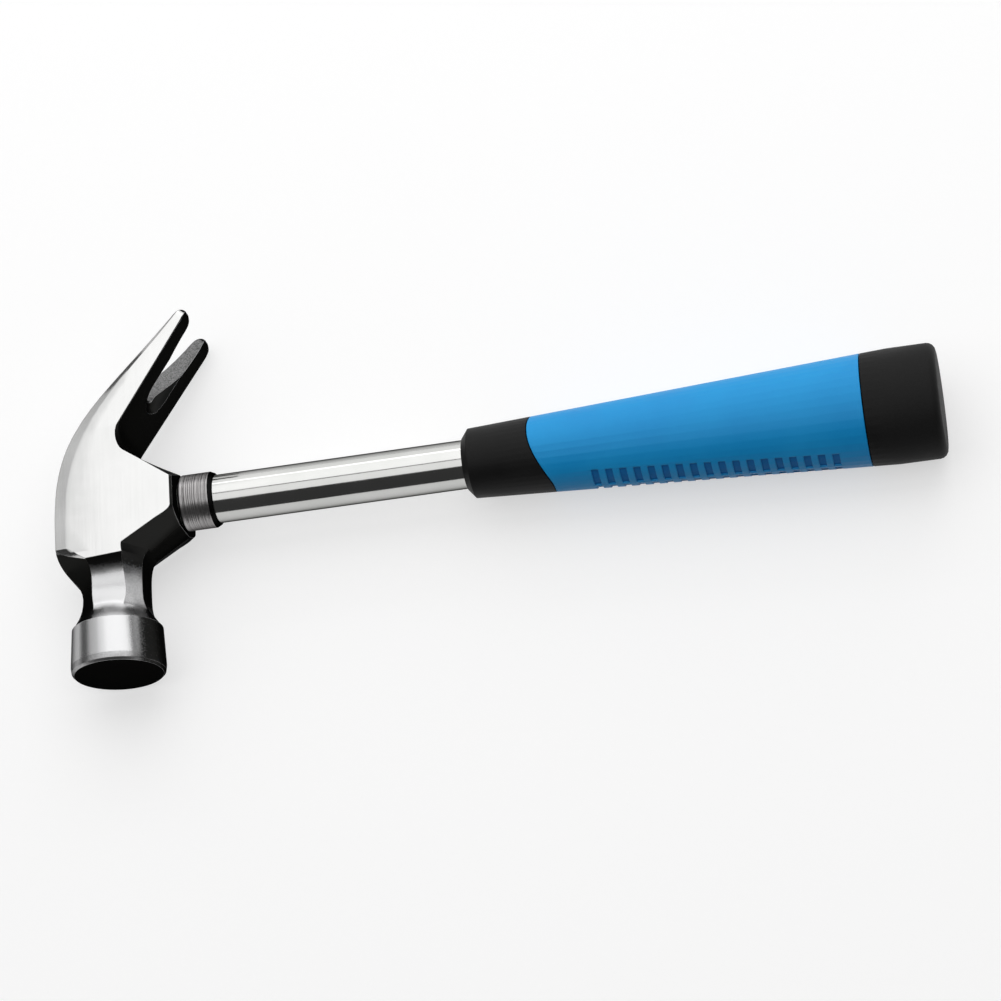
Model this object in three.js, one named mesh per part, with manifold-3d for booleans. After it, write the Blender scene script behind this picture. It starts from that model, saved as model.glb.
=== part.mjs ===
// Mini claw hammer with a steel tube handle and a two-colour grip, lying on its side.
// Millimetres, +Z up. +X runs along the handle from head to butt, +Y towards the claw.
// Distances on the head start where the handle axis crosses the axis of the poll.
import * as THREE from 'three';
import { LoftGeometry } from 'three/addons/geometries/LoftGeometry.js';
import { mergeVertices } from 'three/addons/utils/BufferGeometryUtils.js';
import Module from 'manifold-3d';

// Fits between the pieces
const PRESS_CLEARANCE = 0.25;
const SEAT_GAP = 0.25;

// Handle tube, its expansion plug and the turned collar
const TUBE_DIAMETER = 12.4;
const TUBE_WALL = 1.2;
const TUBE_RECESS = 1.2;
const TUBE_SHOWN = 64.7;
const PLUG_LENGTH = 11;
const PLUG_TAPER = 0.25;
const COLLAR_WALL = 0.75;
const COLLAR_LENGTH = 8.8;
const COLLAR_ROUND = 0.6;

// Poll: the turned striking end of the head
const FACE_DISTANCE = 44;
const POLL_LENGTH = 12;
const POLL_DIAMETER = 24.2;
const POLL_FLARE = 0.5;
const FACE_BEVEL = 0.6;
const FACE_LAND = 14;
const FACE_CROWN = 0.25;
const FACE_BAND = 2.3;
const BAND_TAPER = 0.2;
const RIM_LEDGE = 0.15;

// Neck: the eight-sided waist between poll and cheeks
const WAIST_DISTANCE = 24.2;
const NECK_WIDTH = 15.6;
const NECK_FACET = 8.8;
const NECK_OFFSET = 0.25;
const RIM_FLARE_RUN = 2.4;
const RIM_FLARE_IN = 1.3;
const RIM_PULL = 4.2;
const WAIST_PULL = 5.2;
const FOOT_DISTANCE = 16.6;
const FOOT_FLARE = 2.2;
const FOOT_RUN = 1.4;
const FOOT_CROWN_LEG = 7.4;
const FOOT_HANDLE_LEG = 3.8;
const SHOULDER_DISTANCE = 12.4;
const SHOULDER_PULL = 5.2;
const SHOULDER_SWELL = 1.3;

// Cheeks, crown and the boss that takes the handle
const CHEEK_WIDTH = 23;
const CROWN_HEIGHT = 12.55;
const CROWN_FLAT_END = 6;
const CROWN_PULL = 27.8;
const BOSS_REACH = 18.4;
const BOSS_WALL_BELOW = 1;
const BOSS_WALL_ABOVE = 0.45;
const BOSS_CORNER = 3.2;
const BOSS_CHAMFER = 4.4;
const THROAT_CHAMFER = 5.4;
const BOSS_TOP_FACET = 5;
const THROAT_REACH = 10.2;
const THROAT_DISTANCE = 12.7;
const THROAT_PULL = 2.9;
const EDGE_BEVEL = 0.6;
const CROWN_ROLL = 4.2;
const ROLL_DROP = 0.7;

// Places along the crown curve that pair with the corners of the handle side
const FOOT_SHARE = 0.7;
const END_LOW_SHARE = 0.03;
const END_HIGH_SHARE = 0.1;
const BOSS_HIGH_SHARE = 0.13;
const FILLET_SHARE = 0.27;
const ROOT_SHARE = 0.4;

// Claw: two tapered tines with a nail slot between them
const TIP_REACH = 22.6;
const TIP_DISTANCE = 49.6;
const TIP_THICKNESS = 2.5;
const TIP_ANGLE = 46.5;
const TIP_PULL = 34;
const TIP_CORNER = 2.4;
const TIP_ROUND = 3.6;
const TIP_ROUNDING = 0.97;
const TIP_BEVEL = 0.2;
const TINE_BEVEL = 0.2;
const CLAW_WIDTH = 24.8;
const TINE_WIDTH = 5.9;
const ROOT_REACH = 5.3;
const ROOT_DISTANCE = 20.3;
const FILLET_REACH = 7.5;
const FILLET_DISTANCE = 12.4;
const FILLET_PULL = 2.4;
const FILLET_CHAMFER = 1.6;
const SLOT_LENGTH = 23.5;
const SLOT_ROOT_WIDTH = 3.6;
const SLOT_BELLY = 0.6;
const SLOT_CUT = 16;
const SCOOP_LENGTH = 20.5;
const SCOOP_RADIUS = 8.5;
const SCOOP_LIFT = 6.5;

// Grip: black core with the nose, coloured sleeve, black butt cap
const GRIP_LENGTH = 120.2;
const GRIP_FRONT_WALL = 2.6;
const GRIP_BUTT_HEIGHT = 29.6;
const GRIP_BUTT_WIDTH = 24.8;
const GRIP_BUTT_STRAIGHT = 12;
const GRIP_SAG = 0.5;
const MOUTH_LIP = 0.3;
const MOUTH_CHAMFER = 1.7;
const NOSE_LENGTH = 17.1;
const NOSE_LEAN = 1;
const NOSE_SWEEP = 5;
const SLEEVE_WALL = 1.7;
const CAP_LENGTH = 18.6;
const CAP_ROUND = 2.2;
const CAP_SPIGOT = 14;
const RIB_COUNT = 18;
const RIB_PITCH = 3.52;
const RIB_WIDTH = 1.8;
const RIB_DEPTH = 0.4;
const RIB_FROM_MOUTH = 33.25;
const RIB_STRIP = 1;
const RIB_END_FRONT = 5.8;
const RIB_END_REAR = 4.9;

// Facets, and the overlap that joined or cutting solids are given
const TURNED_SIDES = 48;
const GRIP_SIDES = 40;
const SIDE_STEPS = 3;
const CURVE_STEPS = 7;
const CLAW_STEPS = 8;
const FLAT_STEPS = 1;
const ROUND_STEPS = 4;
const ARC_STEPS = 6;
const SWEEP_STEPS = 12;
const WELD = 1e-4;
const OVERLAP = 3;

// Stations along the handle axis and shared radii
const tubeRadius = TUBE_DIAMETER / 2;
const eyeRadius = tubeRadius + PRESS_CLEARANCE;
const tubeBore = tubeRadius - TUBE_WALL;
const collarStart = BOSS_REACH + SEAT_GAP;
const collarEnd = collarStart + COLLAR_LENGTH;
const gripStart = collarEnd + TUBE_SHOWN;
const gripEnd = gripStart + GRIP_LENGTH;
const capStart = gripEnd - CAP_LENGTH;
const barrelEnd = capStart - SEAT_GAP;
const tubeStart = TUBE_RECESS - CROWN_HEIGHT;
const rimDistance = FACE_DISTANCE - POLL_LENGTH;
const rimRadius = POLL_DIAMETER / 2 - POLL_FLARE;
const cheekHalf = CHEEK_WIDTH / 2;
const clawHalf = CLAW_WIDTH / 2;
const neckHalf = NECK_WIDTH / 2;
const facetHalf = NECK_FACET / 2;

const at = (x, y) => new THREE.Vector2(x, y);
const heading = (degrees) => at(1, 0).rotateAround(at(0, 0), THREE.MathUtils.degToRad(degrees));
const tipCrown = at(TIP_REACH, TIP_DISTANCE);
const tipHandle = tipCrown.clone().addScaledVector(heading(TIP_ANGLE - 90), TIP_THICKNESS);
const root = at(ROOT_REACH, ROOT_DISTANCE);

const wasm = await Module();
wasm.setup();

// A closed three.js geometry as a solid that can be cut and joined.
function solid(geometry) {
  const bare = new THREE.BufferGeometry();
  bare.setAttribute('position', geometry.attributes.position);
  bare.setIndex(geometry.index);
  const merged = mergeVertices(bare, WELD);
  const corners = merged.index.array;
  const triVerts = [];
  for (let i = 0; i < corners.length; i += 3) {
    const [a, b, c] = corners.slice(i, i + 3);
    if (a !== b && b !== c && c !== a) triVerts.push(a, b, c);
  }
  return new wasm.Manifold(new wasm.Mesh({
    numProp: 3,
    vertProperties: new Float32Array(merged.attributes.position.array),
    triVerts: new Uint32Array(triVerts),
  }));
}

// A solid lofted through rings of points, each end closed by a fan to its centre.
function lofted(rings) {
  const fan = (ring) => {
    const centre = new THREE.Vector3();
    ring.forEach((point) => centre.addScaledVector(point, 1 / ring.length));
    return ring.map(() => centre);
  };
  return solid(new LoftGeometry([fan(rings[0]), ...rings, fan(rings[rings.length - 1])]));
}

// A solid of revolution about the handle axis, from [x, radius] pairs.
function turned(profile) {
  const points = profile.map(([x, radius]) => at(radius, x));
  return solid(new THREE.LatheGeometry(points, TURNED_SIDES).rotateZ(-Math.PI / 2));
}

function rod(from, to, radius) {
  return turned([[from, 0], [from, radius], [to, radius], [to, 0]]);
}

// A sleeve of revolution: the outer wall from [x, radius] pairs round a plain bore.
function turnedRing(outer, bore) {
  const from = outer[0][0];
  const to = outer[outer.length - 1][0];
  return turned([[from, bore], ...outer, [to, bore], [from, bore]]);
}

// A prism of a side-view outline, wider than the grip that it cuts.
function prism(shape) {
  const half = GRIP_BUTT_WIDTH;
  const options = { depth: 2 * half, bevelEnabled: false, curveSegments: SWEEP_STEPS };
  return solid(new THREE.ExtrudeGeometry(shape, options).translate(0, 0, -half));
}

// A finished solid as a named mesh.
function piece(name, body, material) {
  const { vertProperties, triVerts } = body.getMesh();
  const geometry = new THREE.BufferGeometry();
  geometry.setAttribute('position', new THREE.BufferAttribute(vertProperties, 3));
  geometry.setIndex(new THREE.BufferAttribute(triVerts, 1));
  geometry.computeVertexNormals();
  const mesh = new THREE.Mesh(geometry, material);
  mesh.name = name;
  return mesh;
}

const along = (curve, from, to) => (t) => curve.getPoint(from + (to - from) * t);
const straight = (a, b) => (t) => a.clone().lerp(b, t);

// How one head section is cut: its half width, then the chamfer legs measured from the
// crown and handle sides, and the half widths that those two sides keep.
function form(half, crownLeg, crownFlat, handleLeg, handleFlat, round = 0) {
  return { half, crownLeg, crownFlat, handleLeg, handleFlat, round };
}

function blendForms(a, b, t) {
  const mixed = {};
  for (const key of Object.keys(a)) mixed[key] = THREE.MathUtils.lerp(a[key], b[key], t);
  return mixed;
}

// One eight-sided section of the head, between a crown point and a handle-side point.
// Where round is 1 it is a circle instead.
function headRing(crown, handle, cut) {
  const reach = handle.distanceTo(crown);
  const direction = handle.clone().sub(crown).divideScalar(reach);
  const corners = [
    at(reach, cut.handleFlat), at(reach, -cut.handleFlat),
    at(reach - cut.handleLeg, -cut.half), at(cut.crownLeg, -cut.half),
    at(0, -cut.crownFlat), at(0, cut.crownFlat),
    at(cut.crownLeg, cut.half), at(reach - cut.handleLeg, cut.half),
  ];
  const ring = [];
  corners.forEach((corner, side) => {
    const next = corners[(side + 1) % corners.length];
    for (let step = 0; step < SIDE_STEPS; step += 1) {
      const share = step / SIDE_STEPS;
      const angle = (0.5 - side - share) * Math.PI / 4;
      const circle = at(reach / 2 + cut.half * Math.cos(angle), cut.half * Math.sin(angle));
      const point = corner.clone().lerp(next, share).lerp(circle, cut.round);
      const place = crown.clone().addScaledVector(direction, point.x);
      ring.push(new THREE.Vector3(place.x, place.y, point.y));
    }
  });
  return ring;
}

// The forged body of the head, lofted between a crown rail and a handle-side rail
// from the rim of the poll to the tip of the claw.
function headBody() {
  const rim = rimRadius - RIM_LEDGE;
  const flareCurve = (side, waist) => new THREE.CubicBezierCurve(
    at(side * rim, -rimDistance), at(side * (rim - RIM_FLARE_IN), RIM_FLARE_RUN - rimDistance),
    at(waist, -WAIST_DISTANCE - RIM_PULL), at(waist, -WAIST_DISTANCE));

  const crownWaist = NECK_OFFSET - neckHalf;
  const handleWaist = NECK_OFFSET + neckHalf;
  const shoulder = at(-CROWN_HEIGHT, -SHOULDER_DISTANCE);
  const crownStart = at(-CROWN_HEIGHT, -CROWN_FLAT_END);
  const crownFlare = flareCurve(-1, crownWaist);
  const crownNeck = new THREE.CubicBezierCurve(
    at(crownWaist, -WAIST_DISTANCE), at(crownWaist, WAIST_PULL - WAIST_DISTANCE),
    at(-CROWN_HEIGHT - SHOULDER_SWELL, -SHOULDER_DISTANCE - SHOULDER_PULL), shoulder);
  const crownSweep = new THREE.CubicBezierCurve(
    crownStart, at(-CROWN_HEIGHT, CROWN_PULL - CROWN_FLAT_END),
    tipCrown.clone().addScaledVector(heading(TIP_ANGLE), -TIP_PULL), tipCrown);

  const throat = at(THROAT_REACH, -THROAT_DISTANCE);
  const bossLow = at(BOSS_REACH, -eyeRadius - BOSS_WALL_BELOW);
  const bossHigh = at(BOSS_REACH, eyeRadius + BOSS_WALL_ABOVE);
  const endLow = bossLow.clone().add(at(0, BOSS_CORNER));
  const endHigh = bossHigh.clone().sub(at(0, BOSS_CORNER));
  const filletStart = at(FILLET_REACH, FILLET_DISTANCE);
  const toward = (from, to) => to.clone().sub(from).normalize();
  const handleFlare = flareCurve(1, handleWaist);
  const handleNeck = new THREE.CubicBezierCurve(
    at(handleWaist, -WAIST_DISTANCE), at(handleWaist, WAIST_PULL - WAIST_DISTANCE),
    throat.clone().addScaledVector(toward(bossLow, throat), THROAT_PULL), throat);
  const fillet = new THREE.CubicBezierCurve(
    filletStart, filletStart.clone().addScaledVector(toward(bossHigh, filletStart), FILLET_PULL),
    root.clone().addScaledVector(toward(tipHandle, root), FILLET_PULL), root);

  // Half width of the neck where its near and far faces run up to the cheeks
  const faceFlare = flareCurve(1, neckHalf);
  const faceNeck = new THREE.CubicBezierCurve(
    at(neckHalf, -WAIST_DISTANCE), at(neckHalf, WAIST_PULL - WAIST_DISTANCE),
    at(cheekHalf - FOOT_FLARE, -FOOT_DISTANCE - FOOT_RUN), at(cheekHalf, -FOOT_DISTANCE));

  const facetShare = Math.tan(Math.PI / 8);
  const rimLeg = rim * (1 - facetShare);
  const rimFlat = rim * facetShare;
  const neckLeg = neckHalf - facetHalf;
  const edge = cheekHalf - EDGE_BEVEL;
  const rolled = cheekHalf - ROLL_DROP;
  const clawEdge = clawHalf - EDGE_BEVEL;
  const tipEdge = clawHalf - TIP_BEVEL;
  const rimForm = form(rim, rimLeg, rimFlat, rimLeg, rimFlat, 1);
  const waistForm = form(neckHalf, neckLeg, facetHalf, neckLeg, facetHalf);
  const footForm = form(cheekHalf, FOOT_CROWN_LEG, facetHalf, FOOT_HANDLE_LEG, facetHalf);
  const throatForm = form(cheekHalf, CROWN_ROLL, rolled, THROAT_CHAMFER, facetHalf);
  const bossForm = form(cheekHalf, CROWN_ROLL, rolled, BOSS_CHAMFER, facetHalf);
  const endForm = form(cheekHalf, CROWN_ROLL, rolled, EDGE_BEVEL, edge);
  const shoulderForm = form(cheekHalf, CROWN_ROLL, rolled, BOSS_CHAMFER, BOSS_TOP_FACET / 2);
  const filletForm = form(cheekHalf, CROWN_ROLL, rolled, FILLET_CHAMFER, facetHalf);
  const rootForm = form(cheekHalf, CROWN_ROLL, rolled, TINE_BEVEL, cheekHalf - TINE_BEVEL);
  const clawForm = form(clawHalf, EDGE_BEVEL, clawEdge, TINE_BEVEL, clawHalf - TINE_BEVEL);
  const tipForm = form(clawHalf, TIP_BEVEL, tipEdge, TIP_BEVEL, tipEdge);

  // Near the tip both rails are drawn in towards each other, so that the claw ends in a round nose
  const tipBreak = tipHandle.clone().addScaledVector(toward(tipHandle, root), TIP_ROUND);
  const sweepBreak = 1 - TIP_ROUND / (TIP_PULL * 3);
  const crownTip = along(crownSweep, sweepBreak, 1);
  const handleTip = straight(tipBreak, tipHandle);
  const drawnIn = (rail, other) => (t) => {
    const share = (1 - Math.sqrt(1 - (TIP_ROUNDING * t) ** 2)) / 2;
    return rail(t).lerp(other(t), share);
  };
  const quarterTurn = (t) => Math.sin(t * Math.PI / 2);
  const smoothTurn = (t) => THREE.MathUtils.smoothstep(t, 0, 1);

  const zones = [
    { steps: CURVE_STEPS, from: rimForm, to: waistForm, face: faceFlare, ease: smoothTurn,
      crown: along(crownFlare, 0, 1), handle: along(handleFlare, 0, 1) },
    { steps: CURVE_STEPS, from: waistForm, to: footForm, face: faceNeck, ease: smoothTurn,
      crown: along(crownNeck, 0, FOOT_SHARE), handle: along(handleNeck, 0, FOOT_SHARE) },
    { steps: CURVE_STEPS, from: footForm, to: throatForm,
      crown: along(crownNeck, FOOT_SHARE, 1), handle: along(handleNeck, FOOT_SHARE, 1) },
    { steps: FLAT_STEPS, from: throatForm, to: bossForm,
      crown: straight(shoulder, crownStart), handle: straight(throat, bossLow) },
    { steps: ARC_STEPS, from: bossForm, to: endForm, ease: quarterTurn,
      crown: along(crownSweep, 0, END_LOW_SHARE), handle: straight(bossLow, endLow) },
    { steps: FLAT_STEPS, from: endForm, to: endForm,
      crown: along(crownSweep, END_LOW_SHARE, END_HIGH_SHARE), handle: straight(endLow, endHigh) },
    { steps: FLAT_STEPS, from: endForm, to: shoulderForm,
      crown: along(crownSweep, END_HIGH_SHARE, BOSS_HIGH_SHARE), handle: straight(endHigh, bossHigh) },
    { steps: CURVE_STEPS, from: shoulderForm, to: filletForm,
      crown: along(crownSweep, BOSS_HIGH_SHARE, FILLET_SHARE), handle: straight(bossHigh, filletStart) },
    { steps: CURVE_STEPS, from: filletForm, to: rootForm,
      crown: along(crownSweep, FILLET_SHARE, ROOT_SHARE), handle: along(fillet, 0, 1) },
    { steps: CLAW_STEPS, from: rootForm, to: clawForm,
      crown: along(crownSweep, ROOT_SHARE, sweepBreak), handle: straight(root, tipBreak) },
    { steps: ROUND_STEPS, from: clawForm, to: tipForm,
      crown: drawnIn(crownTip, handleTip), handle: drawnIn(handleTip, crownTip) },
  ];

  const buried = -rimDistance - OVERLAP;
  const rings = [headRing(at(-rim, buried), at(rim, buried), rimForm)];
  zones.forEach((zone, index) => {
    for (let step = index === 0 ? 0 : 1; step <= zone.steps; step += 1) {
      const t = step / zone.steps;
      const cut = blendForms(zone.from, zone.to, zone.ease ? zone.ease(t) : t);
      if (zone.face) cut.half = zone.face.getPoint(t).x;
      rings.push(headRing(zone.crown(t), zone.handle(t), cut));
    }
  });
  return lofted(rings);
}

// The turned poll: flared body, plain band and a slightly crowned face.
function poll() {
  const radius = POLL_DIAMETER / 2;
  const profile = [
    [0, FACE_DISTANCE],
    [FACE_LAND / 2, FACE_DISTANCE],
    [radius - BAND_TAPER - FACE_BEVEL, FACE_DISTANCE - FACE_CROWN],
    [radius - BAND_TAPER, FACE_DISTANCE - FACE_CROWN - FACE_BEVEL],
    [radius, FACE_DISTANCE - FACE_BAND],
    [rimRadius, rimDistance],
    [0, rimDistance],
  ];
  const points = profile.map(([reach, distance]) => at(reach, -distance));
  return solid(new THREE.LatheGeometry(points, TURNED_SIDES));
}

// Everything that is cut away to leave two tines: the tapered nail slot and the corners
// at the tips, drawn square to the claw and cut through its thickness.
function tineWaste() {
  const clawLine = tipHandle.clone().sub(root).angle();
  const angle = (clawLine + THREE.MathUtils.degToRad(TIP_ANGLE)) / 2;
  const slotHalf = clawHalf - TINE_WIDTH;
  const rootHalf = SLOT_ROOT_WIDTH / 2;
  const slotEnd = -SLOT_LENGTH + rootHalf;
  const belly = at(slotEnd * SLOT_BELLY, slotHalf);

  const outline = new THREE.Shape();
  outline.moveTo(OVERLAP, clawHalf + OVERLAP);
  outline.lineTo(-TIP_CORNER, clawHalf + OVERLAP);
  outline.lineTo(-TIP_CORNER, clawHalf);
  outline.absarc(-TIP_CORNER, clawHalf - TIP_CORNER, TIP_CORNER, Math.PI / 2, 0, true);
  outline.lineTo(0, slotHalf + TIP_CORNER);
  outline.absarc(-TIP_CORNER, slotHalf + TIP_CORNER, TIP_CORNER, 0, -Math.PI / 2, true);
  outline.quadraticCurveTo(belly.x, belly.y, slotEnd, rootHalf);
  outline.absarc(slotEnd, 0, rootHalf, Math.PI / 2, -Math.PI / 2, false);
  outline.quadraticCurveTo(belly.x, -belly.y, -TIP_CORNER, -slotHalf);
  outline.absarc(-TIP_CORNER, -slotHalf - TIP_CORNER, TIP_CORNER, Math.PI / 2, 0, true);
  outline.lineTo(0, TIP_CORNER - clawHalf);
  outline.absarc(-TIP_CORNER, TIP_CORNER - clawHalf, TIP_CORNER, 0, -Math.PI / 2, true);
  outline.lineTo(-TIP_CORNER, -clawHalf - OVERLAP);
  outline.lineTo(OVERLAP, -clawHalf - OVERLAP);

  const options = { depth: SLOT_CUT, bevelEnabled: false, curveSegments: ARC_STEPS };
  const cutter = new THREE.ExtrudeGeometry(outline, options).translate(0, 0, -SLOT_CUT / 2);
  const out = new THREE.Vector3(Math.cos(angle), Math.sin(angle), 0);
  const across = new THREE.Vector3(0, 0, 1);
  const through = new THREE.Vector3().crossVectors(out, across);
  const place = new THREE.Matrix4().makeBasis(out, across, through);
  place.setPosition(tipCrown.x, tipCrown.y, 0);
  return solid(cutter.applyMatrix4(place));
}

// The round-bottomed bevel that opens the slot on the side facing the handle.
function slotScoop() {
  const clawLine = tipHandle.clone().sub(root).angle();
  const profile = [at(0, -OVERLAP), at(SCOOP_RADIUS, -OVERLAP), at(SCOOP_RADIUS, SCOOP_LENGTH)];
  for (let step = 1; step <= ROUND_STEPS; step += 1) {
    const turn = (step / ROUND_STEPS) * Math.PI / 2;
    const reach = step === ROUND_STEPS ? 0 : SCOOP_RADIUS * Math.cos(turn);
    profile.push(at(reach, SCOOP_LENGTH + SCOOP_RADIUS * Math.sin(turn)));
  }
  const cutter = new THREE.LatheGeometry(profile, TURNED_SIDES).rotateZ(clawLine + Math.PI / 2);
  const lift = at(Math.sin(clawLine), -Math.cos(clawLine)).multiplyScalar(SCOOP_LIFT);
  return solid(cutter.translate(tipHandle.x + lift.x, tipHandle.y + lift.y, 0));
}

function clawHead() {
  const eye = rod(-CROWN_HEIGHT - OVERLAP, BOSS_REACH + OVERLAP, eyeRadius);
  return headBody().add(poll()).subtract(tineWaste()).subtract(slotScoop()).subtract(eye);
}

// Half height and half width of the grip at a place along the handle, before the mouth
// and the butt are rounded off.
function gripHalves(x) {
  const flareEnd = gripEnd - GRIP_BUTT_STRAIGHT;
  const share = THREE.MathUtils.clamp((x - gripStart) / (flareEnd - gripStart), 0, 1);
  const front = tubeRadius + GRIP_FRONT_WALL;
  return at(
    THREE.MathUtils.lerp(front, GRIP_BUTT_HEIGHT / 2, share),
    THREE.MathUtils.lerp(front, GRIP_BUTT_WIDTH / 2, share),
  );
}

// One oval section of the grip, drawn in by an inset on every side.
function gripRing(x, inset) {
  const halves = gripHalves(x).subScalar(inset);
  const drop = GRIP_SAG * (x - gripStart) / GRIP_LENGTH;
  const ring = [];
  for (let side = 0; side < GRIP_SIDES; side += 1) {
    const angle = (side / GRIP_SIDES) * 2 * Math.PI;
    ring.push(new THREE.Vector3(x, halves.x * Math.cos(angle) - drop, halves.y * Math.sin(angle)));
  }
  return ring;
}

// The whole outside of the grip, from its chamfered mouth to its rounded butt.
function gripBody() {
  const mouthInset = GRIP_FRONT_WALL - PRESS_CLEARANCE - MOUTH_LIP;
  const rings = [
    gripRing(gripStart, mouthInset),
    gripRing(gripStart + MOUTH_CHAMFER, 0),
    gripRing(gripEnd - GRIP_BUTT_STRAIGHT, 0),
  ];
  for (let step = 0; step <= ROUND_STEPS; step += 1) {
    const turn = (step / ROUND_STEPS) * Math.PI / 2;
    const x = gripEnd - CAP_ROUND * (1 - Math.sin(turn));
    rings.push(gripRing(x, CAP_ROUND * (1 - Math.cos(turn))));
  }
  return lofted(rings);
}

// The stretch of the grip form between two places, drawn in by an inset.
function gripStretch(from, to, inset) {
  return lofted([gripRing(from, inset), gripRing(to, inset)]);
}

// Side view of everything behind the swept edge where the coloured sleeve starts.
function behindNose(shift, end) {
  const reach = GRIP_BUTT_HEIGHT;
  const start = gripStart + NOSE_LENGTH + shift;
  const half = gripHalves(start).x;
  const third = half / 3;
  const outline = new THREE.Shape();
  outline.moveTo(end, reach);
  outline.lineTo(start + NOSE_LEAN, reach);
  outline.lineTo(start + NOSE_LEAN, half);
  outline.bezierCurveTo(start - NOSE_LEAN, third, start, -third, start + NOSE_SWEEP, -half);
  outline.lineTo(start + NOSE_SWEEP, -reach);
  outline.lineTo(end, -reach);
  return prism(outline);
}

function gripCore() {
  const barrelStart = gripStart + NOSE_LENGTH / 2;
  const nose = gripBody().subtract(behindNose(0, gripEnd + OVERLAP));
  const bore = rod(gripStart - OVERLAP, barrelEnd + OVERLAP, eyeRadius);
  return nose.add(gripStretch(barrelStart, barrelEnd, SLEEVE_WALL + PRESS_CLEARANCE)).subtract(bore);
}

// Two rows of finger grooves along the poll-side edge of the sleeve, with a plain strip between.
function fingerGrooves() {
  const first = gripStart + RIB_FROM_MOUTH;
  const last = first + RIB_PITCH * (RIB_COUNT - 1);
  let grooves = null;
  for (let index = 0; index < RIB_COUNT; index += 1) {
    const end = THREE.MathUtils.lerp(RIB_END_FRONT, RIB_END_REAR, index / (RIB_COUNT - 1));
    const span = end - RIB_STRIP / 2;
    for (const side of [-1, 1]) {
      const bar = new THREE.BoxGeometry(RIB_WIDTH, GRIP_BUTT_HEIGHT, span);
      bar.translate(first + index * RIB_PITCH, -GRIP_BUTT_HEIGHT / 2, side * (end - span / 2));
      grooves = grooves ? grooves.add(solid(bar)) : solid(bar);
    }
  }
  return grooves.subtract(gripStretch(first - OVERLAP, last + OVERLAP, RIB_DEPTH));
}

function gripSleeve() {
  const shell = gripBody().intersect(behindNose(SEAT_GAP, barrelEnd));
  const lining = gripStretch(gripStart + NOSE_LENGTH / 2, capStart + OVERLAP, SLEEVE_WALL);
  return shell.subtract(lining).subtract(fingerGrooves());
}

function buttCap() {
  const outline = new THREE.Shape();
  outline.moveTo(capStart, -GRIP_BUTT_HEIGHT);
  outline.lineTo(gripEnd + OVERLAP, -GRIP_BUTT_HEIGHT);
  outline.lineTo(gripEnd + OVERLAP, GRIP_BUTT_HEIGHT);
  outline.lineTo(capStart, GRIP_BUTT_HEIGHT);
  const spigot = rod(capStart - CAP_SPIGOT, capStart + OVERLAP, tubeBore - PRESS_CLEARANCE);
  return gripBody().intersect(prism(outline)).add(spigot);
}

function neckCollar() {
  const radius = eyeRadius + COLLAR_WALL;
  const outer = [
    [collarStart, radius],
    [collarEnd - COLLAR_ROUND, radius],
    [collarEnd, radius - COLLAR_ROUND],
  ];
  return turnedRing(outer, eyeRadius);
}

function handleTube() {
  return turnedRing([[tubeStart, tubeRadius], [barrelEnd, tubeRadius]], tubeBore);
}

function eyePlug() {
  const wide = tubeBore - PRESS_CLEARANCE;
  const end = tubeStart + PLUG_LENGTH;
  return turned([[tubeStart, 0], [tubeStart, wide], [end, wide - PLUG_TAPER], [end, 0]]);
}

const forgedSteel = new THREE.MeshStandardMaterial({ color: 0xd8dcdb, roughness: 0.15, metalness: 1 });
const turnedSteel = new THREE.MeshStandardMaterial({ color: 0xa39c9d, roughness: 0.4, metalness: 1 });
const chrome = new THREE.MeshStandardMaterial({ color: 0xdcdcd8, roughness: 0.08, metalness: 1 });
const plugSteel = new THREE.MeshStandardMaterial({ color: 0x8a8a88, roughness: 0.5, metalness: 1 });
const blackPlastic = new THREE.MeshStandardMaterial({ color: 0x171717, roughness: 0.6, metalness: 0 });
const blueRubber = new THREE.MeshStandardMaterial({ color: 0x1f86d2, roughness: 0.5, metalness: 0 });
const blackRubber = new THREE.MeshStandardMaterial({ color: 0x141414, roughness: 0.7, metalness: 0 });

const hammer = new THREE.Group();
hammer.add(
  piece('claw_head', clawHead(), forgedSteel),
  piece('neck_collar', neckCollar(), turnedSteel),
  piece('handle_tube', handleTube(), chrome),
  piece('eye_plug', eyePlug(), plugSteel),
  piece('grip_core', gripCore(), blackPlastic),
  piece('grip_sleeve', gripSleeve(), blueRubber),
  piece('butt_cap', buttCap(), blackRubber),
);

// The origin is under the middle of the hammer as it lies on its side.
const box = new THREE.Box3().setFromObject(hammer);
const middle = box.getCenter(new THREE.Vector3());
hammer.position.set(-middle.x, -middle.y, -box.min.z);

export default hammer;
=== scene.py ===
"""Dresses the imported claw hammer: finishes, turned pieces, studio light and camera."""

import logging
import math
from dataclasses import dataclass
from enum import Enum

import bmesh
import bpy
from mathutils import Matrix, Vector


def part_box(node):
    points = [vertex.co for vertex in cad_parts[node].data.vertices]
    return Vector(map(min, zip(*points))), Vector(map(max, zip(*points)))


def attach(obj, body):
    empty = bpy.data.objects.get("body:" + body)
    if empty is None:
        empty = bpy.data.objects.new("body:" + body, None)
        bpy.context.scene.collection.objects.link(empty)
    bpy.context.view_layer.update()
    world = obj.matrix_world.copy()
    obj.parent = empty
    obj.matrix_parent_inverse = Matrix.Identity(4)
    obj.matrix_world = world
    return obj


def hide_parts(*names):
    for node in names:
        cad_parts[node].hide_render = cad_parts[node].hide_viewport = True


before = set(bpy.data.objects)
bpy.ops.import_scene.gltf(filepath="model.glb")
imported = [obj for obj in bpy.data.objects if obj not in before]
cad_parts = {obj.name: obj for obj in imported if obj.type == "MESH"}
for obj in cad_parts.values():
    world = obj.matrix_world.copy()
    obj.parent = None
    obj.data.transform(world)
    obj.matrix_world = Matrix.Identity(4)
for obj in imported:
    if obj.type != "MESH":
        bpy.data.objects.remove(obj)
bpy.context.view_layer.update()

BODY = "root"
MM = 0.001
WELD = 0.002 * MM
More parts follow.
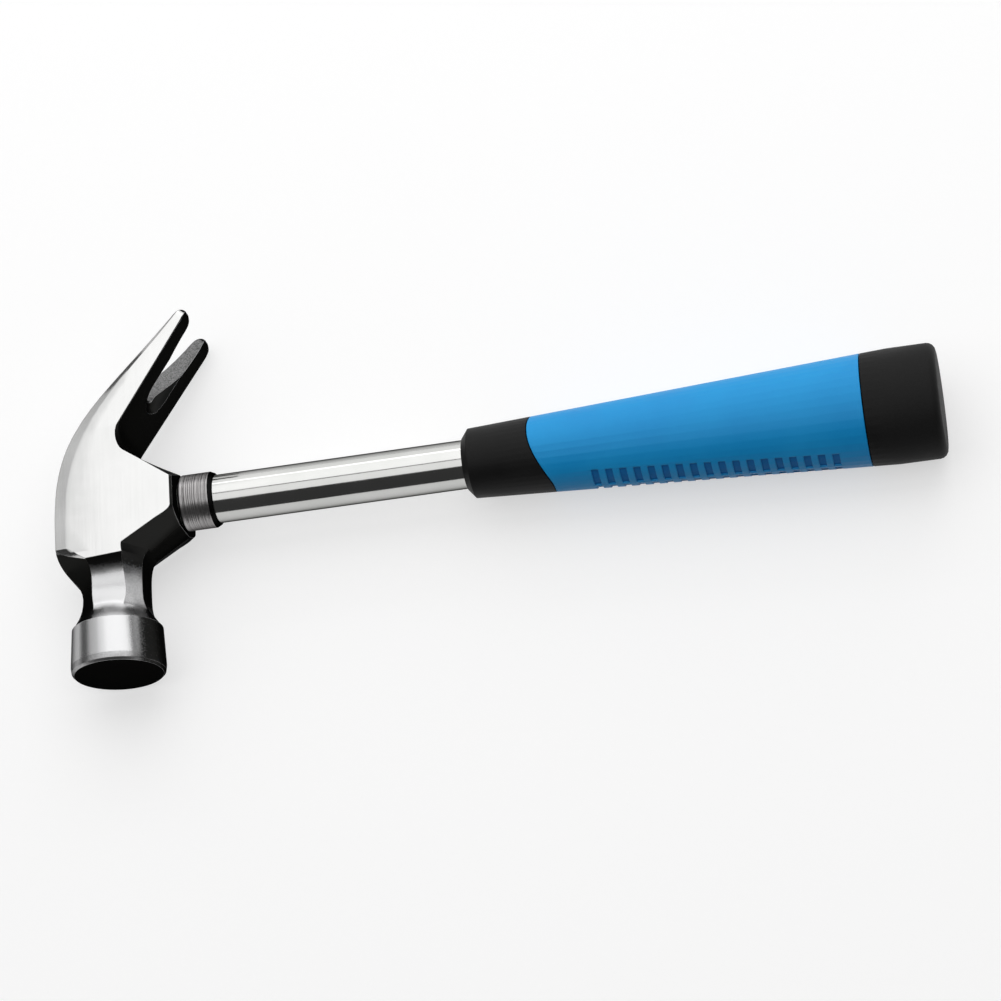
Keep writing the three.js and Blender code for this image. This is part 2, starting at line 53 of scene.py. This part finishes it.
FINE_WELD = WELD / 10
UNIT = (0.0, 1.0)
NOISE_RANGE = (0.3, 0.7)
SMEAR_SCALE = 90.0
SMEAR_DETAIL = 4.0
SMEAR_STOPS = (0.35, 0.65)
LINE_DETAIL = 2.0
LINE_RELIEF = 0.5
EDGE_SAMPLES = 8
DARK_EDGE = (0.0, 0.0, 0.0, 1.0)
WHITE = (1.0, 1.0, 1.0, 1.0)
LOG = logging.getLogger("claw_hammer")

Colour = tuple[float, float, float]
Point = tuple[float, float, float]
Span = tuple[object, object]


class Slot(Enum):
    """The material slots' names."""

    POLISHED_STEEL = "polished_steel"
    TURNED_STEEL = "turned_steel"
    CHROME_TUBE = "chrome_tube"
    PLUG_STEEL = "plug_steel"
    BLACK_CORE = "black_core"
    BLUE_SLEEVE = "blue_sleeve"
    BLACK_CAP = "black_cap"


class Grain(Enum):
    """The direction that a finish's fine lines run in, as stretch factors of its pattern."""

    EVEN = (1.0, 1.0, 1.0)
    ROUND_HANDLE = (1.0, 0.02, 0.02)
    ALONG_HANDLE = (0.04, 1.0, 1.0)
    ACROSS_HEAD = (1.0, 0.05, 1.0)


class Step(Enum):
    """One step of arithmetic between two values of a material."""

    TIMES = "MULTIPLY"
    LARGER = "MAXIMUM"


class Recipe:
    """One procedural material, put together node by node."""

    def __init__(self, name: str) -> None:
        """Starts an empty material with a principled shader.

        Args:
            name: the material's name.
        """
        self.material = bpy.data.materials.new(name)
        self.material.use_nodes = True
        self.tree = self.material.node_tree
        self.shader = self.tree.nodes["Principled BSDF"]

    def node(self, kind: str, **inputs: object) -> bpy.types.Node:
        """Adds a node.

        Args:
            kind: Blender's name for the node's type.
            inputs: values or sockets for the node's inputs, by name, with _ for a space.

        Returns:
            The new node.
        """
        made = self.tree.nodes.new(kind)
        for name, value in inputs.items():
            self.feed(made.inputs[name.replace("_", " ")], value)
        return made

    def feed(self, target: bpy.types.NodeSocket, value: object) -> None:
        """Links a socket to an input, or sets the input's own value.

        Args:
            target: the input.
            value: the socket or the value.
        """
        if isinstance(value, bpy.types.NodeSocket):
            self.tree.links.new(value, target)
        else:
            target.default_value = value

    def shade(self, **inputs: object) -> None:
        """Sets or links inputs of the shader."""
        for name, value in inputs.items():
            self.feed(self.shader.inputs[name.replace("_", " ")], value)

    def stretched(self, grain: Grain) -> bpy.types.NodeSocket:
        """Object coordinates stretched along a grain.

        Args:
            grain: the direction of the lines.

        Returns:
            The vector socket.
        """
        coords = self.node("ShaderNodeTexCoord").outputs["Object"]
        return self.node("ShaderNodeMapping", Vector=coords, Scale=grain.value).outputs["Vector"]

    def noise(self, scale: float, detail: float, grain: Grain = Grain.EVEN) -> bpy.types.NodeSocket:
        """A noise pattern on Object coordinates.

        Args:
            scale: features per metre.
            detail: octaves of finer noise.
            grain: the direction that the pattern is drawn out in.

        Returns:
            The pattern's value socket.
        """
        texture = self.node("ShaderNodeTexNoise", Vector=self.stretched(grain), Scale=scale, Detail=detail)
        return texture.outputs["Fac"]

    def ramp(self, fac: bpy.types.NodeSocket, stops: tuple[float, float],
             colours: tuple[Colour, Colour]) -> bpy.types.NodeSocket:
        """Colours a pattern.

        Args:
            fac: the pattern's value.
            stops: the values of the pattern where the colour starts and stops to change.
            colours: the colours at the two stops.

        Returns:
            The colour socket.
        """
        made = self.node("ShaderNodeValToRGB", Fac=fac)
        for element, place, colour in zip(made.color_ramp.elements, stops, colours):
            element.position = place
            element.color = (*colour, 1.0)
        return made.outputs["Color"]

    def mapped(self, value: bpy.types.NodeSocket, source: Span,
               target: Span = UNIT) -> bpy.types.NodeSocket:
        """Maps a value from one range to another, held to its ends.

        Args:
            value: the value.
            source: the ends of the value's range, as numbers or sockets.
            target: the results at those ends, as numbers or sockets.

        Returns:
            The result's socket.
        """
        made = self.node("ShaderNodeMapRange", Value=value, From_Min=source[0], From_Max=source[1],
                         To_Min=target[0], To_Max=target[1])
        return made.outputs["Result"]

    def reckoned(self, step: Step, first: object, second: object) -> bpy.types.NodeSocket:
        """Joins two values by a step of arithmetic.

        Args:
            step: the step.
            first: the first value or its socket.
            second: the second value or its socket.

        Returns:
            The result's socket.
        """
        made = self.node("ShaderNodeMath")
        made.operation = step.value
        self.feed(made.inputs[0], first)
        self.feed(made.inputs[1], second)
        return made.outputs[0]

    def mixed(self, fac: bpy.types.NodeSocket, low: object, high: object) -> bpy.types.NodeSocket:
        """Mixes two colours.

        Args:
            fac: the share of the second colour.
            low: the first colour or its socket.
            high: the second colour or its socket.

        Returns:
            The colour socket.
        """
        made = self.node("ShaderNodeMix")
        made.data_type = "RGBA"
        ends = [socket for socket in made.inputs if socket.type == "RGBA"]
        self.feed(made.inputs[0], fac)
        self.feed(ends[0], low)
        self.feed(ends[1], high)
        return next(socket for socket in made.outputs if socket.type == "RGBA")

    def rounded(self, radius: float) -> bpy.types.NodeSocket:
        """Rounds off crisp edges in the shading.

        Args:
            radius: the rounding's radius in metres.

        Returns:
            The normal socket.
        """
        made = self.node("ShaderNodeBevel", Radius=radius)
        made.samples = EDGE_SAMPLES
        return made.outputs["Normal"]

    def bump(self, height: bpy.types.NodeSocket, strength: float, depth: float,
             under: bpy.types.NodeSocket | None = None) -> bpy.types.NodeSocket:
        """Turns a pattern into small relief.

        Args:
            height: the pattern's value.
            strength: how far the relief shows, from 0 to 1.
            depth: the relief's height in metres.
            under: a normal that this relief lies on.

        Returns:
            The normal socket.
        """
        made = self.node("ShaderNodeBump", Height=height, Strength=strength, Distance=depth)
        if under is not None:
            self.feed(made.inputs["Normal"], under)
        return made.outputs["Normal"]


@dataclass(frozen=True)
class MetalFinish:
    """A metal surface with polishing lines and faint smears."""

    name: str
    dark: Colour
    light: Colour
    gloss: tuple[float, float]
    line_scale: float
    line_depth: float
    grain: Grain

    def material(self) -> bpy.types.Material:
        """Makes the finish's material.

        Returns:
            The material.
        """
        recipe = Recipe(self.name)
        smear = recipe.noise(SMEAR_SCALE, SMEAR_DETAIL)
        lines = recipe.noise(self.line_scale, LINE_DETAIL, self.grain)
        recipe.shade(
            Base_Color=recipe.ramp(smear, SMEAR_STOPS, (self.dark, self.light)),
            Metallic=1.0,
            Roughness=recipe.mapped(smear, NOISE_RANGE, self.gloss),
            Specular_Tint=DARK_EDGE,
            Normal=recipe.bump(lines, LINE_RELIEF, self.line_depth),
        )
        return recipe.material


@dataclass(frozen=True)
class MouldedFinish:
    """A moulded rubber or plastic surface with a fine matt texture and handling marks."""

    name: str
    dark: Colour
    light: Colour
    gloss: tuple[float, float]
    pebble_scale: float
    pebble_depth: float
    specular: float
    pebble_detail: float = 3.0
    pebble_relief: float = 0.6
    cloud_scale: float = 60.0
    cloud_detail: float = 5.0
    edge_round: float = 0.35 * MM

    def material(self) -> bpy.types.Material:
        """Makes the finish's material.

        Returns:
            The material.
        """
        recipe = Recipe(self.name)
        cloud = recipe.noise(self.cloud_scale, self.cloud_detail)
        pebbles = recipe.noise(self.pebble_scale, self.pebble_detail)
        rounded = recipe.rounded(self.edge_round)
        recipe.shade(
            Base_Color=recipe.ramp(cloud, NOISE_RANGE, (self.dark, self.light)),
            Roughness=recipe.mapped(cloud, NOISE_RANGE, self.gloss),
            Specular_IOR_Level=self.specular,
            Normal=recipe.bump(pebbles, self.pebble_relief, self.pebble_depth, rounded),
        )
        return recipe.material


@dataclass(frozen=True)
class ForgedFinish:
    """The head's steel, which its own attribute turns from polished to satin and to black: blackened steel,
    and painted dark reflection and shade where the head leans to the sides.
    """

    name: str
    polished: tuple[Colour, Colour]
    satin: Colour
    black: Colour
    polished_gloss: tuple[float, float]
    satin_gloss: float
    black_gloss: float
    attribute: str = "finish"
    line_scale: float = 900.0
    line_depth: float = 0.02 * MM
    speckle_scale: float = 2600.0
    speckle_detail: float = 3.0
    speckle_start: tuple[float, float] = (0.0, 0.2)
    speckle_end: tuple[float, float] = (0.8, 1.0)
    edge_round: float = 0.22 * MM
    edge_turn: tuple[float, float] = (0.90, 0.98)
    edge_kept: float = 0.15

    def material(self) -> bpy.types.Material:
        """Makes the finish's material.

        Returns:
            The material.
        """
        recipe = Recipe(self.name)
        rounded = recipe.rounded(self.edge_round)
        tone = recipe.node("ShaderNodeAttribute")
        tone.attribute_name = self.attribute
        shares = recipe.node("ShaderNodeSeparateColor", Color=tone.outputs["Color"]).outputs
        smear = recipe.noise(SMEAR_SCALE, SMEAR_DETAIL)
        lines = recipe.noise(self.line_scale, LINE_DETAIL, Grain.ACROSS_HEAD)
        polish = recipe.ramp(smear, SMEAR_STOPS, self.polished)
        polish_gloss = recipe.mapped(smear, NOISE_RANGE, self.polished_gloss)
        bright = recipe.mixed(shares["Green"], polish, (*self.satin, 1.0))
        bright_gloss = recipe.mapped(shares["Green"], UNIT, (polish_gloss, self.satin_gloss))
        ragged = self.speckled(recipe, shares["Red"])
        # the black share is partly blackening and partly painted dark reflection and shade
        black = recipe.reckoned(Step.TIMES, ragged, self.unworn(recipe, rounded))
        recipe.shade(
            Base_Color=recipe.mixed(black, bright, (*self.black, 1.0)),
            Metallic=1.0,
            Roughness=recipe.mapped(black, UNIT, (bright_gloss, self.black_gloss)),
            Specular_Tint=DARK_EDGE,
            Normal=recipe.bump(lines, LINE_RELIEF, self.line_depth, rounded),
        )
        return recipe.material

    def speckled(self, recipe: Recipe, share: bpy.types.NodeSocket) -> bpy.types.NodeSocket:
        """Makes the fading of the black, blackening and painted shade alike, ragged.

        Args:
            recipe: the material in the making.
            share: the smooth share of black, blackening and painted shade.

        Returns:
            The ragged share's socket.
        """
        speckle = recipe.noise(self.speckle_scale, self.speckle_detail)
        start = recipe.mapped(speckle, NOISE_RANGE, self.speckle_start)
        end = recipe.mapped(speckle, NOISE_RANGE, self.speckle_end)
        return recipe.mapped(share, (start, end))

    def unworn(self, recipe: Recipe, rounded: bpy.types.NodeSocket) -> bpy.types.NodeSocket:
        """Finds the share of the black that is kept, which is small on crisp edges, where blackening wears
        off.

        Args:
            recipe: the material in the making.
            rounded: the normal with the edges rounded off.

        Returns:
            The share's socket.
        """
        turned = recipe.node("ShaderNodeVectorMath")
        turned.operation = "DOT_PRODUCT"
        recipe.feed(turned.inputs[0], rounded)
        recipe.feed(turned.inputs[1], recipe.node("ShaderNodeNewGeometry").outputs["Normal"])
        return recipe.mapped(turned.outputs["Value"], self.edge_turn, (self.edge_kept, 1.0))


Finish = MetalFinish | MouldedFinish | ForgedFinish

FORGED = ForgedFinish(
    name="forged_steel",
    polished=((0.59, 0.59, 0.585), (0.64, 0.64, 0.635)),
    satin=(0.60, 0.60, 0.605),
    # black: blackened steel, also used as painted dark reflection and shade on the head's sides
    black=(0.026, 0.026, 0.025),
    polished_gloss=(0.14, 0.22),
    satin_gloss=0.27,
    black_gloss=0.40,
)
TURNED = MetalFinish(
    name="turned_steel",
    dark=(0.30, 0.29, 0.29),
    light=(0.42, 0.41, 0.41),
    gloss=(0.28, 0.38),
    line_scale=2600.0,
    line_depth=0.06 * MM,
    grain=Grain.ROUND_HANDLE,
)
# painted shade: near-black steel for the collar's end
COLLAR_END_PAINTED_SHADE = MetalFinish(
    name="collar_end_painted_shade",
    dark=(0.006, 0.006, 0.006),
    light=(0.012, 0.012, 0.012),
    gloss=(0.38, 0.50),
    line_scale=1200.0,
    line_depth=0.04 * MM,
    grain=Grain.EVEN,
)
CHROME = MetalFinish(
    name="chrome_plate",
    dark=(0.54, 0.545, 0.53),
    light=(0.58, 0.58, 0.57),
    gloss=(0.07, 0.13),
    line_scale=700.0,
    line_depth=0.01 * MM,
    grain=Grain.ALONG_HANDLE,
)
PLUG = MetalFinish(
    name="plug_steel",
    dark=(0.42, 0.42, 0.41),
    light=(0.54, 0.54, 0.53),
    gloss=(0.30, 0.42),
    line_scale=1800.0,
    line_depth=0.05 * MM,
    grain=Grain.EVEN,
)
BLACK_CORE = MouldedFinish(
    name="black_core",
    dark=(0.007, 0.007, 0.007),
    light=(0.011, 0.011, 0.011),
    gloss=(0.48, 0.60),
    pebble_scale=3200.0,
    pebble_depth=0.06 * MM,
    specular=0.15,
)
BLUE_SLEEVE = MouldedFinish(
    name="blue_sleeve",
    dark=(0.007, 0.30, 0.70),
    light=(0.012, 0.34, 0.75),
    gloss=(0.40, 0.50),
    pebble_scale=3600.0,
    pebble_depth=0.03 * MM,
    specular=0.22,
)
# painted shade: a darker blue for the finger grooves' faces
GROOVE_PAINTED_SHADE = MouldedFinish(
    name="groove_painted_shade",
    dark=(0.005, 0.16, 0.46),
    light=(0.007, 0.18, 0.50),
    gloss=(0.50, 0.60),
    pebble_scale=3600.0,
    pebble_depth=0.03 * MM,
    specular=0.15,
)
BLACK_CAP = MouldedFinish(
    name="black_cap",
    dark=(0.007, 0.007, 0.007),
    light=(0.011, 0.011, 0.011),
    gloss=(0.55, 0.68),
    pebble_scale=2600.0,
    pebble_depth=0.08 * MM,
    specular=0.15,
)


def finished(name: str, bm: bmesh.types.BMesh, node: str, finishes: list[Finish],
             smooth_angle: float) -> bpy.types.Object:
    """Makes a finished piece from a bmesh, on the hammer's one body.

    Args:
        name: the piece's name.
        bm: its shape, in metres, which is freed.
        node: the CAD node that it stands for.
        finishes: its finishes, in the order of its faces' material numbers.
        smooth_angle: edges that turn by more than this angle, in degrees, stay crisp.

    Returns:
        The piece's object.
    """
    limit = math.radians(smooth_angle)
    for face in bm.faces:
        face.smooth = True
    for edge in bm.edges:
        edge.smooth = edge.is_manifold and edge.calc_face_angle() < limit
    mesh = bpy.data.meshes.new(name)
    bm.to_mesh(mesh)
    bm.free()
    for finish in finishes:
        mesh.materials.append(finish.material())
    piece = bpy.data.objects.new(name, mesh)
    bpy.context.scene.collection.objects.link(piece)
    weighted = piece.modifiers.new("even_shading", "WEIGHTED_NORMAL")
    weighted.keep_sharp = True
    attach(piece, BODY)
    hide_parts(node)
    return piece


def merged_copy(node: str) -> bmesh.types.BMesh:
    """Copies a CAD node's mesh, with its loose triangles joined.

    Args:
        node: the CAD node's name.

    Returns:
        The copy as a bmesh.
    """
    bm = bmesh.new()
    bm.from_mesh(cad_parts[node].data)
    bmesh.ops.remove_doubles(bm, verts=bm.verts, dist=WELD)
    return bm


def spun(profile: list[tuple[float, float]], centre: Vector, sides: int) -> bmesh.types.BMesh:
    """Turns a closed profile about the handle's line.

    Args:
        profile: places along the handle, each with its radius, in metres.
        centre: a point on the handle's line.
        sides: how many steps the turn has.

    Returns:
        The turned shape as a bmesh.
    """
    bm = bmesh.new()
    ring = [bm.verts.new((x, centre.y, centre.z + radius)) for x, radius in profile]
    edges = [bm.edges.new((ring[i - 1], ring[i])) for i in range(len(ring))]
    bmesh.ops.spin(bm, geom=ring + edges, cent=centre, axis=(1, 0, 0), angle=math.tau, steps=sides,
                   use_merge=True)
    bmesh.ops.remove_doubles(bm, verts=bm.verts, dist=FINE_WELD)
    bmesh.ops.recalc_face_normals(bm, faces=bm.faces)
    return bm


def rise(low: float, high: float, value: float) -> float:
    """Rises smoothly from 0 at one value to 1 at another.

    Args:
        low: the value that gives 0.
        high: the value that gives 1.
        value: the value.

    Returns:
        The share from 0 to 1.
    """
    share = min(max((value - low) / (high - low), 0.0), 1.0)
    return share * share * (3.0 - 2.0 * share)


@dataclass
class HandleLine:
    """The handle's own line, from which the head and the turned pieces take their place."""

    tube: str = "handle_tube"

    def centre(self) -> Vector:
        """Returns a point on the handle's line, at the tube's middle."""
        low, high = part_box(self.tube)
        return (low + high) / 2


@dataclass
class ClawHead:
    """The forged head: polished cheeks, satin poll, a blackened claw, throat and face, and painted dark
    reflection and shade on the poll's sides, the crown roll, the neck and the slot.
    """

    node: str = "claw_head"
    name: str = "forged_head"
    smooth_angle: float = 24.0
    origin_x: float = -99.812 * MM
    face_end: float = -43.2 * MM
    face_ring: float = -41.6 * MM
    rim: float = -31.9 * MM
    shoulder: float = -12.4 * MM
    crown_line: Point = (-12.5 * MM, -13.0 * MM, 0.0)
    crown_way: Point = (0.3497, 0.9369, 0.0)
    crown_end: float = -4.6 * MM
    boss_top: float = 7.2 * MM
    slot_half: float = 8.2 * MM
    # painted dark reflection rises over these leans, in degrees, on the crown roll, the neck's handle side
    # and the poll
    crown_lean: tuple[float, float] = (14.0, 24.0)
    throat_lean: tuple[float, float] = (38.0, 62.0)
    poll_lean: tuple[float, float] = (30.0, 50.0)
    # the neck's top fades to black over these places, partly blackening and partly painted shade
    neck_fade: tuple[float, float] = (-20.5 * MM, -16.5 * MM)
    facet_lean: float = 26.0
    face_facing: float = -0.8
    cheek_facing: float = 0.92
    slot_facing: float = 0.45
    # poll_shade and slot_shade are painted shade on the poll's sides and the slot's walls; ring_shade
    # darkens the band by the face
    poll_shade: float = 0.95
    ring_shade: float = 0.35
    slot_shade: float = 0.74

    def build(self, line: HandleLine) -> bpy.types.Object:
        """Makes the head's piece.

        Args:
            line: the handle's line.

        Returns:
            The head's object.
        """
        bm = merged_copy(self.node)
        middle = line.centre()
        origin = Vector((self.origin_x, middle.y, middle.z))
        bmesh.ops.bisect_plane(bm, geom=[*bm.verts, *bm.edges, *bm.faces], dist=WELD,
                               plane_co=origin + Vector(self.crown_line), plane_no=self.crown_way)
        piece = finished(self.name, bm, self.node, [FORGED], self.smooth_angle)
        self.dress(piece.data, origin)
        return piece

    def dress(self, mesh: bpy.types.Mesh, origin: Vector) -> None:
        """Writes the attribute that the head's finish reads: its shares of black, partly painted shade, and
        of satin.

        Args:
            mesh: the head's mesh.
            origin: where the handle's line crosses the poll's.
        """
        tones = mesh.attributes.new(FORGED.attribute, "FLOAT_COLOR", "CORNER")
        for face in mesh.polygons:
            middle = face.center - origin
            for corner in face.loop_indices:
                normal = mesh.corner_normals[corner].vector
                spot = mesh.vertices[mesh.loops[corner].vertex_index].co - origin
                black, satin = self.tone(middle, face.normal, spot, normal)
                tones.data[corner].color = (black, satin, 0.0, 1.0)

    def tone(self, place: Vector, facing: Vector, corner: Vector, normal: Vector) -> tuple[float, float]:
        """Chooses the finish and the painted shade at a corner of a face of the head.

        Args:
            place: the face's middle, from where the handle's line crosses the poll's.
            facing: the way that the face looks.
            corner: the corner's own place.
            normal: the smooth surface's normal at the corner.

        Returns:
            The shares of black, which is blackening and painted dark reflection and shade, and of satin.
        """
        lean = math.degrees(math.atan2(normal.x, abs(normal.z)))
        # the striking face is black: blackening, partly painted dark reflection
        if place.y < self.face_end and facing.y < self.face_facing:
            return 1.0, 1.0
        if place.y < self.rim:
            # painted dark reflection: the poll darkens as its surface leans towards the handle
            shade = self.poll_shade * rise(*self.poll_lean, lean)
            return max(shade, self.ring_shade if place.y < self.face_ring else 0.0), 1.0
        above = (place - Vector(self.crown_line)).dot(Vector(self.crown_way)) > 0.0
        if place.x < self.crown_end and not above:
            # painted shade: the crown roll darkens as it leans towards the crown
            return rise(*self.crown_lean, -lean), 1.0
        if place.y < self.shoulder:
            level = place.y > self.neck_fade[1] and facing.z * place.z > self.cheek_facing * abs(place.z)
            if level or place.x < self.crown_end:
                return 0.0, 0.0
            # painted dark reflection and shade: the neck darkens with its lean and fades to black at its
            # top
            fade = rise(*self.neck_fade, corner.y)
            return max(rise(*self.crown_lean, -lean), rise(*self.throat_lean, lean), fade), 1.0
        # faces that lean towards the handle are black: blackening, partly painted dark reflection
        if math.degrees(math.atan2(facing.x, abs(facing.z))) > self.facet_lean:
            return 1.0, 1.0
        inward = -facing.z if place.z > 0.0 else facing.z
        # painted shade in the slot: its walls are partly black
        if place.y > self.boss_top and abs(place.z) < self.slot_half and inward > self.slot_facing:
            return self.slot_shade, 1.0
        return 0.0, 0.0


@dataclass
class TurnedCollar:
    """The turned collar under the head, with lathe lines and a near-black end, painted shade of a gap."""

    node: str = "neck_collar"
    name: str = "turned_collar"
    sides: int = 96
    smooth_angle: float = 35.0
    lines: int = 13
    drift: float = 0.3
    line_half: float = 0.15
    line_depth: float = 0.05 * MM
    end_chamfer: float = 0.5 * MM
    dark_end: float = 1.0 * MM
    bore: float = 6.45 * MM

    def build(self, line: HandleLine) -> bpy.types.Object:
        """Makes the collar's piece.

        Args:
            line: the handle's line.

        Returns:
            The collar's object.
        """
        low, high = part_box(self.node)
        radius = (high.z - low.z) / 2
        start, end = low.x + self.end_chamfer, high.x - self.dark_end
        pitch = (end - start) / self.lines
        half = pitch * self.line_half
        profile = [(low.x, self.bore), (low.x, radius - self.end_chamfer), (start, radius)]
        for index in range(1, self.lines):
            place = start + pitch * (index + self.drift * math.sin(index * index))
            profile += [(place - half, radius), (place, radius - self.line_depth), (place + half, radius)]
        profile += [(end, radius), (high.x, radius - self.end_chamfer), (high.x, self.bore)]
        bm = spun(profile, line.centre(), self.sides)
        # faces past the last line take the near-black steel, painted shade at the collar's end
        for face in bm.faces:
            face.material_index = int(face.calc_center_median().x > end)
        return finished(self.name, bm, self.node, [TURNED, COLLAR_END_PAINTED_SHADE], self.smooth_angle)


@dataclass
class ChromeTube:
    """The plated tube, which runs from the head's eye through the grip."""

    node: str = "handle_tube"
    name: str = "chrome_tube"
    sides: int = 128
    smooth_angle: float = 40.0
    wall: float = 1.2 * MM
    lip: float = 0.3 * MM

    def build(self, line: HandleLine) -> bpy.types.Object:
        """Makes the tube's piece.

        Args:
            line: the handle's line.

        Returns:
            The tube's object.
        """
        low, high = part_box(self.node)
        outer = (high.z - low.z) / 2
        inner = outer - self.wall
        profile = [
            (low.x, inner + self.lip), (low.x, outer - self.lip), (low.x + self.lip, outer),
            (high.x - self.lip, outer), (high.x, outer - self.lip), (high.x, inner + self.lip),
            (high.x - self.lip, inner), (low.x + self.lip, inner),
        ]
        bm = spun(profile, line.centre(), self.sides)
        return finished(self.name, bm, self.node, [CHROME], self.smooth_angle)


@dataclass
class EyePlug:
    """The plug that spreads the tube's end in the eye of the head."""

    node: str = "eye_plug"
    name: str = "tube_plug"
    smooth_angle: float = 35.0

    def build(self) -> bpy.types.Object:
        """Makes the plug's piece.

        Returns:
            The plug's object.
        """
        bm = merged_copy(self.node)
        return finished(self.name, bm, self.node, [PLUG], self.smooth_angle)


@dataclass
class Grip:
    """The three moulded pieces of the grip."""

    core: str = "grip_core"
    sleeve: str = "grip_sleeve"
    cap: str = "butt_cap"
    smooth_angle: float = 32.0
    first_groove: float = 25.588 * MM
    pitch: float = 3.52 * MM
    grooves: int = 18
    half_width: float = 0.95 * MM
    groove_facing: float = -0.2

    def build(self) -> list[bpy.types.Object]:
        """Makes the grip's pieces.

        Returns:
            The core's, the sleeve's and the cap's objects.
        """
        core = finished("black_core", merged_copy(self.core), self.core, [BLACK_CORE],
                        self.smooth_angle)
        sleeve = merged_copy(self.sleeve)
        for face in sleeve.faces:
            # the grooves' faces take the darker blue, painted shade in the recesses
            face.material_index = int(self.in_groove(face))
        blue = finished("blue_sleeve", sleeve, self.sleeve, [BLUE_SLEEVE, GROOVE_PAINTED_SHADE],
                        self.smooth_angle)
        cap = finished("black_cap", merged_copy(self.cap), self.cap, [BLACK_CAP],
                       self.smooth_angle)
        return [core, blue, cap]

    def in_groove(self, face: bmesh.types.BMFace) -> bool:
        """Tells whether a face of the sleeve is the floor or wall of a finger groove.

        Args:
            face: the face.

        Returns:
            True for a groove's face.
        """
        middle = face.calc_center_median()
        index = round((middle.x - self.first_groove) / self.pitch)
        if not 0 <= index < self.grooves or face.normal.y > self.groove_facing:
            return False
        spread = max(abs(v.co.x - self.first_groove - index * self.pitch) for v in face.verts)
        return spread < self.half_width


@dataclass(frozen=True)
class Softbox:
    """One flat studio light."""

    name: str
    low: Point
    high: Point
    radiance: float

    def build(self) -> None:
        """Makes the light between its two corners, facing down, or inwards where it stands upright."""
        low, high = Vector(self.low), Vector(self.high)
        wide, deep, tall = high - low
        light = bpy.data.lights.new(self.name, "AREA")
        light.shape = "RECTANGLE"
        light.size, light.size_y = wide or deep, tall or deep
        light.energy = self.radiance * math.pi * light.size * light.size_y
        lamp = bpy.data.objects.new(self.name, light)
        lamp.location = (low + high) / 2
        lamp.rotation_euler.x = -math.pi / 2 if tall else 0.0
        lamp.rotation_euler.z = 0.0 if wide else -math.pi / 2
        lamp.visible_camera = False
        bpy.context.scene.collection.objects.link(lamp)


SOFTBOXES = (
    Softbox("front_softbox", low=(-0.36, -0.44, 0.85), high=(0.75, 0.06, 0.85), radiance=1.20),
    Softbox("rear_softbox", low=(-0.36, 0.11, 0.85), high=(0.75, 1.45, 0.85), radiance=1.55),
    Softbox("side_softbox", low=(-0.66, -0.44, 0.85), high=(-0.36, 1.45, 0.85), radiance=1.10),
    Softbox("crown_softbox", low=(-1.70, -0.44, 0.85), high=(-0.66, 1.45, 0.85), radiance=0.62),
    Softbox("wall_softbox", low=(-1.20, 1.50, 0.02), high=(1.20, 1.50, 1.10), radiance=1.20),
    Softbox("handle_softbox", low=(1.40, 0.10, 0.05), high=(1.40, 1.40, 0.80), radiance=0.90),
)


@dataclass
class Studio:
    """The floor, the light and the camera."""

    eye: Point = (0.15895, -0.38299, 0.91157)
    right: Point = (0.9777, -0.0661, -0.1995)
    up: Point = (0.1352, 0.9246, 0.3561)
    back: Point = (0.1610, -0.3751, 0.9129)
    lens: float = 141.5
    floor_size: float = 4.0
    floor_colour: Colour = (0.50, 0.50, 0.50)
    floor_roughness: float = 0.9
    floor_glow: float = 0.56
    sky: Colour = (0.05, 0.05, 0.05)

    def build(self) -> None:
        """Makes the floor, the world, the softboxes and the camera."""
        scene = bpy.context.scene
        scene.view_settings.view_transform = "Standard"
        self.make_floor()
        self.make_world()
        for softbox in SOFTBOXES:
            softbox.build()
        self.make_camera()

    def make_floor(self) -> None:
        """Makes the pale floor, which the camera and bright metal see a little brighter."""
        mesh = bpy.data.meshes.new("studio_floor")
        bm = bmesh.new()
        bmesh.ops.create_grid(bm, x_segments=1, y_segments=1, size=self.floor_size / 2)
        bm.to_mesh(mesh)
        bm.free()
        floor = bpy.data.objects.new("studio_floor", mesh)
        bpy.context.scene.collection.objects.link(floor)
        recipe = Recipe("studio_floor")
        rays = recipe.node("ShaderNodeLightPath").outputs
        seen = rays["Is Camera Ray"]
        for kind in ("Is Glossy Ray", "Is Transmission Ray"):
            seen = recipe.reckoned(Step.LARGER, seen, rays[kind])
        recipe.shade(
            Base_Color=(*self.floor_colour, 1.0),
            Roughness=self.floor_roughness,
            Specular_IOR_Level=0.0,
            Emission_Color=WHITE,
            Emission_Strength=recipe.reckoned(Step.TIMES, seen, self.floor_glow),
        )
        mesh.materials.append(recipe.material)

    def make_world(self) -> None:
        """Makes the dim surroundings."""
        world = bpy.data.worlds.new("dim_studio")
        world.use_nodes = True
        world.node_tree.nodes["Background"].inputs["Color"].default_value = (*self.sky, 1.0)
        bpy.context.scene.world = world

    def make_camera(self) -> None:
        """Makes the camera at the photograph's angle."""
        data = bpy.data.cameras.new("studio_camera")
        data.lens = self.lens
        camera = bpy.data.objects.new("studio_camera", data)
        turn = Matrix((self.right, self.up, self.back)).transposed()
        camera.matrix_world = Matrix.LocRotScale(Vector(self.eye), turn.to_quaternion(), None)
        bpy.context.scene.collection.objects.link(camera)
        bpy.context.scene.camera = camera


def main() -> None:
    """Builds the studio and the hammer's pieces in order."""
    logging.basicConfig(level=logging.INFO, format="%(message)s")
    Studio().build()
    line = HandleLine()
    made = [ClawHead().build(line), TurnedCollar().build(line), ChromeTube().build(line), EyePlug().build()]
    made += Grip().build()
    for piece in made:
        LOG.info("%s: %d faces", piece.name, len(piece.data.polygons))


if __name__ == "__main__":
    main()
